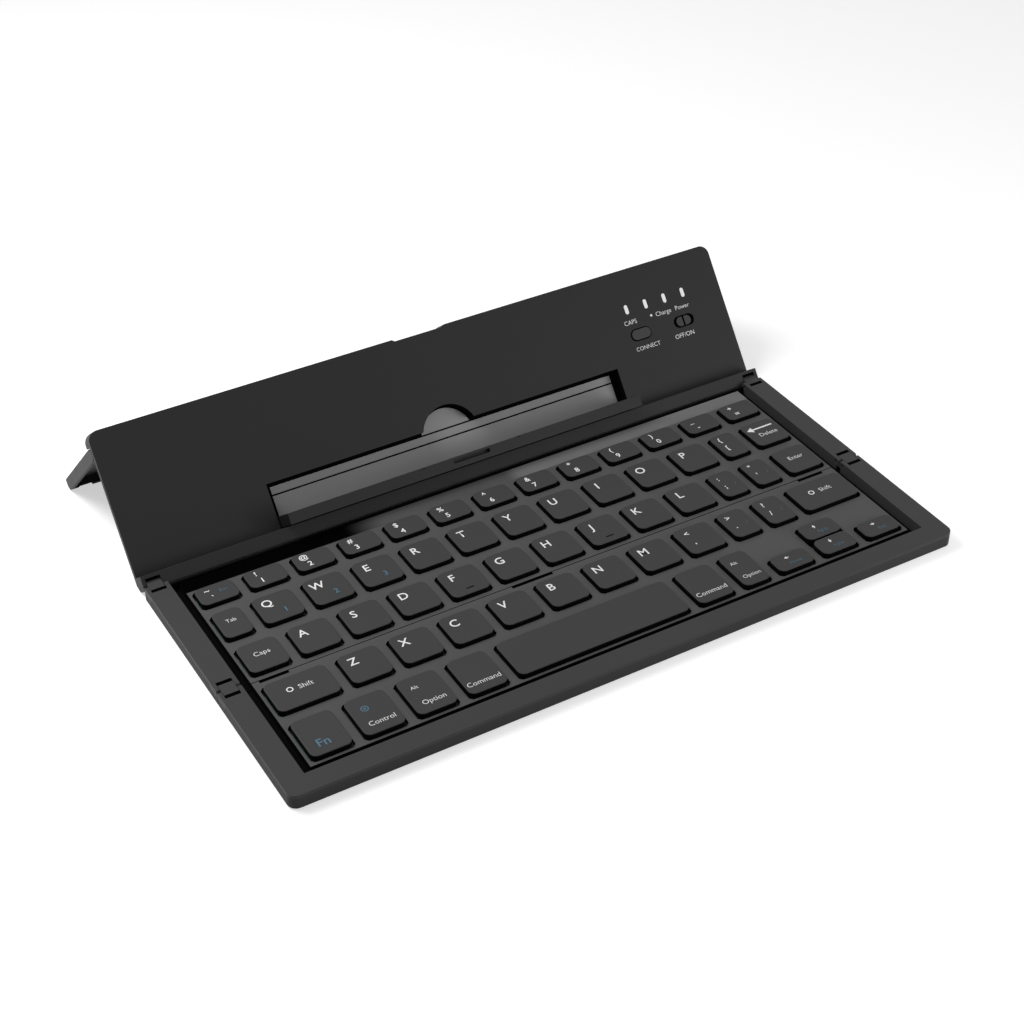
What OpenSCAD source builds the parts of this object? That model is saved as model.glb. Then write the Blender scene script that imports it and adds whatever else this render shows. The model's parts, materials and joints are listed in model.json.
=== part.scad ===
// Folding keyboard: two hinged key panels, a tilted lid with a device ledge and a rear stand.
// Y = 0 in the local layout is the seam between the two key panels; z = 0 is the desk.

/* [Panels] */
// Overall width of the panels and the lid, mm
body_width = 240; // [236:1:252]
// Thickness of a key panel without its feet, mm
panel_height = 5; // [4.9:0.1:5.6]
// Height of the rubber feet, mm
foot_height = 0.6; // [0.4:0.1:0.9]
// Width of the raised border beside the keys, mm
border_width = 7.7; // [7.4:0.1:8.4]
// Depth of the front panel from the seam, mm
front_depth = 50.9; // [50.5:0.1:51.3]
// Depth from the front seam to the lid seam, mm
middle_depth = 56.9; // [56.8:0.1:57.5]
// Radius of the front panel's outer corners, mm
corner_radius = 3; // [2:0.5:4]

/* [Keys] */
// Gap between neighbouring key tops, mm
key_gap = 4; // [3.6:0.1:4.4]
// Height of the key tops above the deck, mm
key_rise = 1.5; // [1.3:0.1:1.6]
// Travel of a key, mm
key_travel = 1.2; // [0.8:0.1:1.2]
// Radius of the key corners, mm
key_corner = 2.2; // [1.6:0.1:2.6]

/* [Lid] */
// Angle of the lid above the desk, degrees
lid_tilt = 51.6; // [48:0.1:56]
// Length of the lid above its hinge line, mm
lid_length = 52.1; // [51.5:0.1:52.2]
// Width of the ledge that holds a device, mm
ledge_width = 136.8; // [120:0.1:140]
// Distance that the open ledge stands out from the lid, mm
ledge_reach = 10.4; // [9.5:0.1:10.4]
// Length of the rear stand from its pivot, mm
stand_length = 47.2; // [46:0.1:48]

/* [Hidden] */
$fn = 48;
eps = 0.01;

// walls, ribs and heights
wall = 1.2;
rib = 0.8;
deck_thick = 0.8;
deck_drop = 1.6;
floor_thick = 0.7;
half = body_width / 2;
inner = half - border_width;
z_floor = foot_height;
z_top = foot_height + panel_height;
z_deck = z_top - deck_drop;
z_rib = z_deck - deck_thick;
z_key = z_deck + key_rise;
z_in = z_floor + floor_thick;

// the deck inside its border, and the field of keys on it
moat = 3.3;
front_border = 7.2;
front_moat = 2.9;
rear_gap = 2;
field_edge = 1.5;
deck_half = inner - moat;
deck_front = -(front_depth - front_border - front_moat);
deck_rear = middle_depth - rear_gap;
field = 2 * (deck_half - field_edge);
key_clear = 0.55;

// caps, boards and domes
cap_top = 0.9;
cap_wall = 0.9;
cap_sink = 0.7;
cap_low = z_deck - cap_sink;
board_thick = 0.45;
board_edge = 1.4;
board_seam = 1.6;
dome_base = 0.2;
dome_edge = 0.6;
dome_low_r = 2.5;
dome_high_r = 1.6;
dome_gap = 0.05;
dome_high = z_key - cap_top - key_travel - dome_gap;

// screws, bosses, feet and magnets
screw_r = 0.5;
screw_head_r = 1.1;
boss_r = 1.4;
boss_clear = 0.3;
foot_r = 4;
foot_side = 16;
foot_inset = 8;
magnet_x = half - 30;
magnet_r = 2.2;
magnet_high = 1.4;

// hinges: the link pins lie just under the top faces, so the panels fold face to face
link_span = 3.4;
pin_drop = 1.2;
z_pivot = z_top - pin_drop;
knuckle = link_span / 2 - 0.1;
seam = 0.15;
ya = link_span / 2;
yb = -ya;
yc = middle_depth - link_span / 2;
yd = middle_depth + link_span / 2;
link_end = 0.75;
pocket_end = 2.2;
block_low = z_pivot - 1.5;
pocket_wide = 5.1;
pocket_in = half - wall - pocket_wide;
link_side = 0.1;
pin_r = 0.6;
pin_clear = 0.05;

// lid, in its own space: x across, y up the lid from its pivot, z out of its face
face_w = -4.8;
skin_w = -6;
plate_w = -6.8;
pod_w = -10;
pod_in_w = -9.2;
back_w = -11.2;
flange_top = 3.3;
head_low = lid_length - 4.7;
pod_side = 10;
pod_half = half - pod_side;
ledge_clear = 0.5;
win_half = ledge_width / 2 + ledge_clear;
win_top = ledge_reach + 8.4;
notch_r = 10.6;
notch_y = win_top - 3.7;
flap_y = 5.8;
flap_w = face_w - 2.1;
flap_low = flap_y - 2.1;
flap_high = flap_y + 1.65;
thumb_half = 10.3;
thumb_deep = 0.7;

// lights, button, switch and socket lie near the lid's right and top edges
led_y = lid_length - 14.2;
led_x = [for (d = [30.1, 22, 13.9, 5.9]) pod_half - d];
led_wide = 1;
led_tall = 3.2;
button_at = [pod_half - 27.4, led_y - 9.8];
slide_at = [pod_half - 8.8, led_y - 10];
control_x = [pod_half - 37, pod_half - 2];
control_y = [6, lid_length - 7.9];
control_low = pod_in_w + 0.3;
control_w = control_low + 0.6;
window_clear = 4;
socket_x = pod_half - 22;
socket_w = -7.65;
socket_wide = 8.8;
socket_tall = 2.9;
socket_deep = 7.2;
socket_wall = 0.4;
socket_clear = 0.1;
battery_thick = 2.7;
battery_x = [12 - pod_half, -16];
battery_y = [notch_y + notch_r + wall + 0.6, lid_length - 7.6];
tact_half = 1.75;
tact_high = 0.7;
switch_half = [4.2, 1.8];
switch_high = 1.1;
lid_magnet_y = 7.2;
strip_thick = 0.5;
strip_gap = 0.8;
band_y = win_top - 4.45;
groove_wide = 0.5;

stand_half = 2.1;
stand_skin = 1.1;
stand_pin_r = 0.75;
stand_y = head_low - 0.25 - stand_half;
stand_w = back_w + stand_half;
axis_y = yd + stand_y * cos(lid_tilt) - stand_w * sin(lid_tilt);
axis_z = z_pivot + stand_y * sin(lid_tilt) + stand_w * cos(lid_tilt);
stand_fall = asin((axis_z + 0.5) / sqrt(pow(stand_length, 2) + pow(stand_half, 2)))
             - atan2(stand_half, stand_length);
stand_open = 180 - lid_tilt - stand_fall;
foot_y = axis_y + stand_length * cos(stand_fall) - stand_half * sin(stand_fall);
rear_y = axis_y + stand_length * cos(stand_fall) + stand_half * sin(stand_fall);
y_shift = (rear_y - front_depth) / 2;

// rows of keys: front and rear edge of each
deep_num = 8.8;
deep_q = 13.2;
deep_a = 13.3;
deep_z = 13.5;
deep_s = 16.4;
gap_num = 4.9;
gap_q = 5.2;
gap_z = 5.3;
edge_num = 7.3;
edge_a = 2.2;
edge_z = 4.1;
arrow_gap = 0.9;
fit_rear = (deck_rear - edge_num - edge_a - gap_num - gap_q) / (deep_num + deep_q + deep_a);
fit_front = (-edge_z - deck_front - field_edge - gap_z) / (deep_z + deep_s);
row_a = [edge_a, snap(edge_a + deep_a * fit_rear)];
row_q = [row_a[1] + gap_q, snap(row_a[1] + gap_q + deep_q * fit_rear)];
row_num = [row_q[1] + gap_num, deck_rear - edge_num];
row_s = [snap(deck_front + field_edge), snap(deck_front + field_edge + deep_s * fit_front)];
row_z = [row_s[1] + gap_z, -edge_z];
half_key = (row_s[1] - row_s[0] - arrow_gap) / 2;

// widths of the keys in each row for the drawn field; the last key fills the row
drawn_field = 215;
drawn_gap = 4;
num_squeeze = 0.17;
w_q = [9.5, 13.5, 13.5, 13.5, 13.5, 13.5, 13.5, 13.5, 13.5, 13.5, 13.5, 9.2];
w_a = [13.1, 13.5, 13.5, 13.5, 13.5, 13.5, 13.5, 13.5, 13.5, 13.5, 9.5, 9.4];
w_z = [20.5, 13.5, 13.5, 13.5, 13.5, 13.5, 13.5, 13.5, 13.5, 10.2, 10.4];
w_s = [13.3, 13.4, 13.3, 13.2, 61.7, 13.2, 10, 13.6, 13.6];
num_wide = snap((field - 12 * (key_gap - num_squeeze)) / 13);

// key edges are kept to a hundredth of a millimetre
function snap(v) = round(v * 100) / 100;
function sum_to(v, n) = n <= 0 ? 0 : v[n - 1] + sum_to(v, n - 1);
function fit_k(v) = (field - key_gap * len(v)) / (drawn_field - drawn_gap * len(v));
function x_left(v, i) = snap(-field / 2 + sum_to(v, i) * fit_k(v) + i * key_gap);
function x_right(v, i) = i >= len(v) ? field / 2 : snap(x_left(v, i) + v[i] * fit_k(v));
function num_left(i) = snap(-field / 2 + i * (num_wide + key_gap - num_squeeze));

module world() {
  translate([0, -y_shift, 0]) children();
}

module lid_space() {
  world() translate([0, yd, z_pivot]) rotate([lid_tilt, 0, 0]) children();
}

module stand_space() {
  lid_space() translate([0, stand_y, stand_w]) rotate([stand_open, 0, 0]) children();
}

module box(x0, x1, y0, y1, z0, z1) {
  translate([x0, y0, z0]) cube([x1 - x0, y1 - y0, z1 - z0]);
}

module rounded(x0, x1, y0, y1, r) {
  translate([x0 + r, y0]) square([x1 - x0 - 2 * r, y1 - y0]);
  translate([x0, y0 + r]) square([x1 - x0, y1 - y0 - 2 * r]);
  for (x = [x0 + r, x1 - r], y = [y0 + r, y1 - r]) translate([x, y]) circle(r = r);
}

module prism(x0, x1, y0, y1, z0, z1, r) {
  translate([0, 0, z0]) linear_extrude(z1 - z0) rounded(x0, x1, y0, y1, r);
}

// a flat pill centred on [x, y]
module pill(at, wide, tall, z0, z1) {
  r = min(wide, tall) / 2 - 0.01;
  prism(at[0] - wide / 2, at[0] + wide / 2, at[1] - tall / 2, at[1] + tall / 2, z0, z1, r);
}

// a profile drawn in y and z, run along x
module along_x(x0, x1) {
  translate([x0, 0, 0]) rotate([90, 0, 90]) linear_extrude(x1 - x0) children();
}

module rod_x(x0, x1, y, z, r) {
  translate([x0, y, z]) rotate([0, 90, 0]) cylinder(r = r, h = x1 - x0, $fn = 32);
}

module mirrored() {
  children();
  mirror([1, 0, 0]) children();
}

// ---- keys ----

module cap(x0, x1, y0, y1) {
  difference() {
    prism(x0, x1, y0, y1, cap_low, z_key, key_corner);
    prism(x0 + cap_wall, x1 - cap_wall, y0 + cap_wall, y1 - cap_wall,
          cap_low - eps, z_key - cap_top, key_corner - cap_wall);
  }
}

module row_cap(v, i, row) {
  cap(x_left(v, i), x_right(v, i), row[0], row[1]);
}

module low_cap(i) {
  cap(x_left(w_s, i), x_right(w_s, i), row_s[0], row_s[0] + half_key);
}

module number_keys() {
  color("dimgray") world() for (i = [0:12])
    cap(num_left(i), num_left(i) + num_wide, row_num[0], row_num[1]);
}

module upper_letter_keys() {
  color("dimgray") world() for (i = [1:11]) row_cap(w_q, i, row_q);
}

module home_letter_keys() {
  color("dimgray") world() for (i = [1:11]) row_cap(w_a, i, row_a);
}

module lower_letter_keys() {
  color("dimgray") world() for (i = [1:10]) row_cap(w_z, i, row_z);
}

module tab_key() {
  color("gray") world() row_cap(w_q, 0, row_q);
}

module backspace_key() {
  color("gray") world() row_cap(w_q, 12, row_q);
}

module caps_key() {
  color("gray") world() row_cap(w_a, 0, row_a);
}

module enter_key() {
  color("gray") world() row_cap(w_a, 12, row_a);
}

module left_shift_key() {
  color("gray") world() row_cap(w_z, 0, row_z);
}

module right_shift_key() {
  color("gray") world() row_cap(w_z, 11, row_z);
}

module fn_key() {
  color("gray") world() row_cap(w_s, 0, row_s);
}

module ctrl_key() {
  color("gray") world() row_cap(w_s, 1, row_s);
}

module left_alt_key() {
  color("gray") world() row_cap(w_s, 2, row_s);
}

module left_cmd_key() {
  color("gray") world() row_cap(w_s, 3, row_s);
}

module space_key() {
  color("gray") world() row_cap(w_s, 4, row_s);
}

module right_cmd_key() {
  color("gray") world() row_cap(w_s, 5, row_s);
}

module right_alt_key() {
  color("gray") world() row_cap(w_s, 6, row_s);
}

module left_arrow_key() {
  color("gray") world() low_cap(7);
}

module down_arrow_key() {
  color("gray") world() low_cap(8);
}

module right_arrow_key() {
  color("gray") world() low_cap(9);
}

module up_arrow_key() {
  color("gray") world()
    cap(x_left(w_s, 8), x_right(w_s, 8), row_s[1] - half_key, row_s[1]);
}

// ---- decks ----

// a key's opening, its corners cut off straight
module opening(x0, x1, y0, y1) {
  c = key_clear;
  r = key_corner / 2;
  polygon([[x0 - c + r, y0 - c], [x1 + c - r, y0 - c], [x1 + c, y0 - c + r], [x1 + c, y1 + c - r],
           [x1 + c - r, y1 + c], [x0 - c + r, y1 + c], [x0 - c, y1 + c - r], [x0 - c, y0 - c + r]]);
}

module row_openings(v, row, n) {
  for (i = [0:n]) opening(x_left(v, i), x_right(v, i), row[0], row[1]);
}

// bosses stand between the rows of keys
boss_x = deck_half - 37;
boss_num = (row_q[1] + row_num[0]) / 2;
boss_q = (row_a[1] + row_q[0]) / 2;
boss_z = (row_s[1] + row_z[0]) / 2;
boss_seam = -2.4;
middle_bosses = [for (y = [boss_num, boss_q], x = [-boss_x, 0, boss_x]) [x, y]];
front_bosses = [[-boss_x, boss_z], [-8, boss_z], [boss_x, boss_z],
                [2 - boss_x, boss_seam], [8, boss_seam], [boss_x - 6, boss_seam]];
seam_slots = [[2.4 - deck_half, 12.2 - deck_half], [-18.7, -3.7],
              [deck_half - 14.7, deck_half - 4.4]];

// a deck plate with its children cut out of it
module deck_plate(y0, y1, bosses_at) {
  difference() {
    translate([0, 0, z_rib]) linear_extrude(deck_thick) difference() {
      translate([-deck_half, y0]) square([2 * deck_half, y1 - y0]);
      children();
    }
    for (p = bosses_at) translate([p[0], p[1], z_rib - eps])
      cylinder(r = screw_r, h = deck_thick - 0.2, $fn = 24);
  }
}

module middle_deck() {
  color("slategray") world() deck_plate(seam, deck_rear, middle_bosses) {
    for (i = [0:12]) opening(num_left(i), num_left(i) + num_wide, row_num[0], row_num[1]);
    row_openings(w_q, row_q, 12);
    row_openings(w_a, row_a, 12);
  }
}

module front_deck() {
  color("slategray") world() deck_plate(deck_front, -seam, front_bosses) {
    row_openings(w_z, row_z, 11);
    row_openings(w_s, row_s, 6);
    opening(x_left(w_s, 7), x_right(w_s, 7), row_s[0], row_s[0] + half_key);
    opening(x_left(w_s, 8), x_right(w_s, 8), row_s[0], row_s[1]);
    opening(x_left(w_s, 9), x_right(w_s, 9), row_s[0], row_s[0] + half_key);
    for (s = seam_slots) translate([s[0], -1.2]) square([s[1] - s[0], 2]);
  }
}

// ---- boards, domes, feet, screws ----

module boss_gaps(list) {
  for (p = list) translate([p[0], p[1], z_in - 1])
    cylinder(r = boss_r + boss_clear, h = 3, $fn = 24);
}

module middle_board() {
  color("darkgreen") world() difference() {
    box(board_edge - deck_half, deck_half - board_edge, board_seam, deck_rear - board_edge,
        z_in, z_in + board_thick);
    boss_gaps(middle_bosses);
  }
}

module front_board() {
  color("darkgreen") world() difference() {
    box(board_edge - deck_half, deck_half - board_edge, deck_front + board_edge, -board_seam,
        z_in, z_in + board_thick);
    boss_gaps(front_bosses);
  }
}

module dome(x0, x1, y0, y1) {
  translate([(x0 + x1) / 2, (y0 + y1) / 2, z_in + board_thick])
    cylinder(r1 = dome_low_r, r2 = dome_high_r, h = dome_high - z_in - board_thick, $fn = 24);
}

module row_domes(v, row, n) {
  for (i = [0:n]) dome(x_left(v, i), x_right(v, i), row[0], row[1]);
}

module middle_domes() {
  e = board_edge + dome_edge;
  z0 = z_in + board_thick;
  color("ivory") world() difference() {
    union() {
      box(e - deck_half, deck_half - e, board_seam + dome_edge, deck_rear - e, z0, z0 + dome_base);
      for (i = [0:12]) dome(num_left(i), num_left(i) + num_wide, row_num[0], row_num[1]);
      row_domes(w_q, row_q, 12);
      row_domes(w_a, row_a, 12);
    }
    boss_gaps(middle_bosses);
  }
}

module front_domes() {
  e = board_edge + dome_edge;
  z0 = z_in + board_thick;
  color("ivory") world() difference() {
    union() {
      box(e - deck_half, deck_half - e, deck_front + e, -board_seam - dome_edge,
          z0, z0 + dome_base);
      row_domes(w_z, row_z, 11);
      row_domes(w_s, row_s, 6);
      for (i = [7:9]) dome(x_left(w_s, i), x_right(w_s, i), row_s[0], row_s[0] + half_key);
      dome(x_left(w_s, 8), x_right(w_s, 8), row_s[1] - half_key, row_s[1]);
    }
    boss_gaps(front_bosses);
  }
}

module foot(x, y) {
  translate([x, y, 0]) cylinder(r = foot_r, h = foot_height);
}

module middle_feet() {
  color("black") world() for (x = [-1, 1], y = [foot_inset, middle_depth - foot_inset])
    foot(x * (half - foot_side), y);
}

module front_feet() {
  color("black") world() for (x = [-1, 1], y = [-foot_inset, foot_inset - front_depth])
    foot(x * (half - foot_side), y);
}

module screws(list) {
  for (p = list) translate([p[0], p[1], 0]) {
    translate([0, 0, z_floor + 0.1]) cylinder(r = screw_head_r, h = 0.4, $fn = 24);
    translate([0, 0, z_floor + 0.1]) cylinder(r = screw_r, h = z_deck - z_floor - 0.3, $fn = 24);
  }
}

module middle_screws() {
  color("silver") world() screws(middle_bosses);
}

module front_screws() {
  color("silver") world() screws(front_bosses);
}

module bosses(list) {
  for (p = list) translate([p[0], p[1], z_floor])
    cylinder(r = boss_r, h = z_rib - z_floor, $fn = 24);
}

module boss_bores(list) {
  for (p = list) translate([p[0], p[1], z_floor - eps]) {
    cylinder(r = screw_head_r, h = 0.5 + eps, $fn = 24);
    cylinder(r = screw_r, h = 9, $fn = 24);
  }
}

// ---- middle panel ----

// the upper half of a knuckle round a pin, cut level with the top face
module knuckle_end(y) {
  intersection() {
    translate([y, z_pivot]) circle(r = knuckle);
    translate([y - knuckle, z_pivot]) square([2 * knuckle, pin_drop]);
  }
}

module pin_hole(y) {
  rod_x(inner - 1, half - 0.5, y, z_pivot, pin_r + pin_clear);
}

module trim_right() {
  difference() {
    union() {
      along_x(inner, half) {
        translate([ya, z_pivot]) square([yc - ya, pin_drop]);
        knuckle_end(ya);
        knuckle_end(yc);
        translate([seam, block_low]) square([ya + 4 - seam, z_pivot - block_low + 0.2]);
        translate([yc - 4, block_low])
          square([middle_depth - seam - yc + 4, z_pivot - block_low + 0.2]);
      }
      box(inner, inner + 1, seam + 1, middle_depth - seam - 1, z_in, z_pivot + eps);
    }
    box(pocket_in, pocket_in + pocket_wide, -1, ya + pocket_end, block_low - 1, z_top + 1);
    box(pocket_in, pocket_in + pocket_wide, yc - pocket_end, yd, block_low - 1, z_top + 1);
    pin_hole(ya);
    pin_hole(yc);
  }
}

module middle_trim_right() {
  color("dimgray") world() trim_right();
}

module middle_trim_left() {
  color("dimgray") world() mirror([1, 0, 0]) trim_right();
}

module middle_pan() {
  rear = middle_depth - seam;
  color("darkslategray") world() difference() {
    union() {
      box(-half, half, seam, rear, z_floor, z_in);
      mirrored() {
        box(half - wall, half, ya + 4, yc - 4, z_floor, z_pivot);
        box(half - wall, half, seam, rear, z_floor, block_low);
        box(deck_half - rib, deck_half, seam, deck_rear, z_floor, z_rib);
      }
      box(-deck_half, deck_half, seam, seam + rib, z_floor, z_rib);
      box(-deck_half, deck_half, deck_rear - rib, deck_rear, z_floor, z_rib);
      box(0.1 - inner, inner - 0.1, rear - rib, rear, z_floor, z_deck);
      bosses(middle_bosses);
    }
    boss_bores(middle_bosses);
  }
}

// ---- front panel ----

module front_outline(inset) {
  r = corner_radius - inset;
  y0 = -front_depth + inset;
  h = half - inset;
  translate([-h, y0 + r]) square([2 * h, -seam - y0 - r]);
  translate([-h + r, y0]) square([2 * h - 2 * r, r + 1]);
  for (x = [-h + r, h - r]) translate([x, y0 + r]) circle(r = r);
}

module front_frame() {
  yf = front_border - front_depth;
  color("dimgray") world() difference() {
    union() {
      difference() {
        translate([0, 0, z_pivot]) linear_extrude(pin_drop) front_outline(0);
        box(-inner, inner, yf, 9, z_pivot - 1, z_top + 1);
        box(-half - 1, half + 1, yb - 1, 9, z_pivot - 1, z_top + 1);
      }
      mirrored() along_x(inner, half) {
        knuckle_end(yb);
        translate([yb - 2, z_pivot]) square([2, pin_drop]);
        translate([yb - 4, block_low]) square([4 - seam - yb, z_pivot - block_low + 0.2]);
      }
      mirrored() box(inner, inner + 1, yf - 1, -seam - 1, z_in, z_pivot + 0.2);
      box(-inner - 1, inner + 1, yf - 1, yf, z_in, z_pivot + 0.2);
    }
    mirrored()
      box(pocket_in, pocket_in + pocket_wide, yb - pocket_end, 1, block_low - 1, z_top + 1);
    mirrored() pin_hole(yb);
  }
}

module front_pan() {
  color("darkslategray") world() difference() {
    union() {
      translate([0, 0, z_floor]) linear_extrude(floor_thick) front_outline(0);
      difference() {
        translate([0, 0, z_floor]) linear_extrude(z_pivot - z_floor) front_outline(0);
        translate([0, 0, z_floor - 1]) linear_extrude(9) front_outline(wall);
        box(wall - half, half - wall, -9, 1, z_floor - 1, z_top);
        box(-half - 1, half + 1, yb - 4, 1, block_low, z_top);
      }
      mirrored() {
        box(deck_half - rib, deck_half, deck_front, -seam, z_floor, z_rib);
        box(magnet_x - 4, magnet_x + 4, wall - front_depth, 6 - front_depth, z_floor, z_in + 0.3);
      }
      box(-deck_half, deck_half, deck_front, deck_front + rib, z_floor, z_rib);
      box(-deck_half, deck_half, -seam - rib, -seam, z_floor, z_rib);
      bosses(front_bosses);
    }
    boss_bores(front_bosses);
  }
}

module front_magnets() {
  color("silver") world() for (x = [-magnet_x, magnet_x])
    translate([x, 3.6 - front_depth, z_in + 0.3]) cylinder(r = magnet_r, h = magnet_high);
}

// ---- hinge links and pins ----

// one link, its pins at y0 and y0 + link_span
module link(y0) {
  x0 = pocket_in + link_side;
  y1 = y0 + link_span;
  difference() {
    along_x(x0, x0 + pocket_wide - 2 * link_side) {
      translate([y0 - link_end, z_pivot]) square([link_span + 2 * link_end, pin_drop]);
      translate([y0, z_pivot - pin_drop]) square([link_span, pin_drop + eps]);
      for (y = [y0, y1]) translate([y, z_pivot]) circle(r = pin_drop);
    }
    for (y = [y0, y1]) rod_x(x0 - 1, x0 + pocket_wide, y, z_pivot, pin_r);
  }
}

module front_links() {
  color("gray") world() mirrored() link(yb);
}

module lid_links() {
  color("gray") world() mirrored() link(yc);
}

module link_pins(y0) {
  for (y = [y0, y0 + link_span]) rod_x(inner + 0.3, half - 0.55, y, z_pivot, pin_r);
}

module front_pins() {
  color("silver") world() mirrored() link_pins(yb);
}

module lid_pins() {
  color("silver") world() mirrored() link_pins(yc);
}

// ---- lid ----

// the lid's outline from y0 up, with a shallow thumb notch in its free edge
module lid_outline(y0) {
  r = 3.5;
  difference() {
    union() {
      translate([-half, y0]) square([body_width, lid_length - r - y0]);
      translate([-half + r, y0]) square([body_width - 2 * r, lid_length - y0]);
      for (x = [-half + r, half - r]) translate([x, lid_length - r]) circle(r = r);
    }
    polygon([[-thumb_half, lid_length + 1], [-thumb_half, lid_length],
             [1 - thumb_half, lid_length - thumb_deep], [thumb_half - 2, lid_length - thumb_deep],
             [thumb_half, lid_length], [thumb_half, lid_length + 1]]);
  }
}

module window(grow) {
  translate([-win_half - grow, flange_top])
    square([2 * (win_half + grow), win_top + grow - flange_top]);
  translate([0, notch_y]) circle(r = notch_r + grow);
}

module lid_face() {
  color("dimgray") lid_space() difference() {
    union() {
      difference() {
        translate([0, 0, skin_w]) linear_extrude(face_w - skin_w) lid_outline(flange_top - 1);
        translate([0, 0, skin_w - 1]) linear_extrude(3) difference() {
          window(0);
          translate([-half, 0]) square([body_width, flange_top]);
        }
        for (x = led_x) pill([x, led_y], led_wide, led_tall, skin_w - 1, 0);
        pill(button_at, 8.6, 4.5, skin_w - 1, 0);
        pill(slide_at, 8.6, 4.3, skin_w - 1, 0);
      }
      along_x(-half, half) {
        intersection() {
          circle(r = knuckle);
          translate([-knuckle, 0]) square([2 * knuckle, pin_drop]);
        }
        translate([0, 0]) square([flange_top, pin_drop]);
        polygon([[-knuckle, eps], [-knuckle, -4.2], [-0.25, skin_w], [flange_top, skin_w],
                 [flange_top, eps]]);
      }
    }
    mirrored() {
      box(pocket_in, pocket_in + pocket_wide, -4, pocket_end, -1.7, 9);
      rod_x(inner - 1, half - 0.5, 0, 0, pin_r + pin_clear);
    }
    box(-pod_half, pod_half, 0.2, 2.1, skin_w - 1, -0.6);
  }
}

// the charging socket's outside, grown all round, from below the lid's free edge to past it
module socket_block(grow, below, past) {
  x = socket_wide / 2 + grow;
  w = socket_tall / 2 + grow;
  prism(socket_x - x, socket_x + x, lid_length - below, lid_length + past,
        socket_w - w, socket_w + w, 0.5 + grow);
}

control_pads = [[win_half + 7.1, control_y[0] + 3], [control_x[0] + 3, control_y[1] - 3.2],
                [control_x[1] - 2.5, control_y[0] + 3], [control_x[1] - 2.5, control_y[1] - 3.2]];

module lid_back() {
  color("darkslategray") lid_space() difference() {
    union() {
      difference() {
        union() {
          translate([0, 0, plate_w]) linear_extrude(skin_w - plate_w) lid_outline(0.4);
          box(-pod_half, pod_half, flange_top - 0.4, head_low + 1, pod_w, plate_w + eps);
          translate([0, 0, back_w]) linear_extrude(plate_w - back_w + eps) intersection() {
            lid_outline(0);
            translate([-half, head_low]) square([body_width, 9]);
          }
          box(-pod_half, pod_half, flange_top - 1.2, flange_top + 1, pod_in_w - 0.1, plate_w + eps);
          mirrored() box(pod_half - 1, pod_half + 2, stand_y - 1.1, head_low + 1,
                         back_w + 1, plate_w + eps);
        }
        box(1 - pod_half, pod_half - 1, flange_top, lid_length - wall, pod_in_w, 0);
        box(1.4 - half, half - 1.4, head_low + 1, lid_length - wall, back_w + 1, plate_w - 0.4);
      }
      translate([0, 0, pod_w]) linear_extrude(skin_w - pod_w) difference() {
        window(wall);
        translate([-win_half, flange_top]) square([2 * win_half, win_top - flange_top]);
        translate([0, notch_y]) circle(r = notch_r);
      }
      translate([0, 0, pod_w]) linear_extrude(pod_in_w - pod_w) window(0.5);
      for (p = control_pads) translate([p[0], p[1], pod_in_w - eps])
        cylinder(r = 1.5, h = control_low - pod_in_w + eps, $fn = 24);
    }
    mirrored() {
      rod_x(win_half - 1, win_half + 4, flap_y, flap_w, pin_r + pin_clear);
      rod_x(pod_half - 0.3, pod_half + 9, stand_y, stand_w, stand_pin_r + pin_clear);
    }
    socket_block(socket_clear, socket_deep + 5, 9);
  }
}

// the strip fills the window and its round notch, with a groove between its bands
module recess_strip() {
  groove_w = pod_in_w + 0.2;
  color("darkgray") lid_space() difference() {
    translate([0, 0, pod_in_w]) linear_extrude(strip_thick) {
      translate([2 - win_half, flange_top + 0.2])
        square([2 * win_half - 4, win_top - strip_gap - flange_top - 0.2]);
      translate([0, notch_y]) circle(r = notch_r - strip_gap);
    }
    for (y = [band_y, win_top - strip_gap - groove_wide])
      box(1 - win_half, win_half - 1, y, y + groove_wide, groove_w, 0);
  }
}

module battery() {
  color("goldenrod") lid_space()
    prism(battery_x[0], battery_x[1], battery_y[0], battery_y[1],
          pod_in_w, pod_in_w + battery_thick, 1);
}

module control_board() {
  color("green") lid_space() difference() {
    prism(control_x[0], control_x[1], control_y[0], control_y[1], control_low, control_w, 1);
    box(0, win_half + window_clear, 0, win_top + window_clear, pod_w, 0);
  }
}

module tact_switch() {
  color("silver") lid_space() translate([button_at[0], button_at[1], control_w]) {
    box(-tact_half, tact_half, -tact_half, tact_half, 0, tact_high);
    translate([0, 0, tact_high - eps]) cylinder(r = 1, h = 0.4, $fn = 24);
  }
}

module slide_switch() {
  color("silver") lid_space() translate([slide_at[0], slide_at[1], control_w])
    box(-switch_half[0], switch_half[0], -switch_half[1], switch_half[1], 0, switch_high);
}

module led_windows() {
  color("white") lid_space() for (x = led_x)
    pill([x, led_y], led_wide, led_tall, control_w, face_w);
}

module connect_button() {
  color("gray") lid_space() {
    pill(button_at, 8.2, 4.1, -6.6, face_w + 0.35);
    pill(button_at, 9.8, 5.6, -6.6, skin_w - 0.15);
  }
}

module power_slider() {
  color("gray") lid_space() difference() {
    union() {
      pill(slide_at, 6.2, 3.5, -6.6, face_w - 0.15);
      pill(slide_at, 12, 5.2, -6.6, skin_w - 0.15);
      translate([slide_at[0], slide_at[1], -7]) cylinder(r = 0.8, h = 0.5, $fn = 24);
    }
    translate([slide_at[0], slide_at[1], 0]) box(-0.3, 0.3, -4, 4, face_w - 0.8, 0);
  }
}

module charge_socket() {
  x = socket_wide / 2 - socket_wall;
  w = socket_tall / 2 - socket_wall + 0.05;
  color("silver") lid_space() difference() {
    socket_block(0, socket_deep + socket_clear, -socket_clear);
    box(socket_x - x, socket_x + x, lid_length - socket_deep + 1.6, lid_length + 1,
        socket_w - w, socket_w + w);
  }
}

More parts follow.
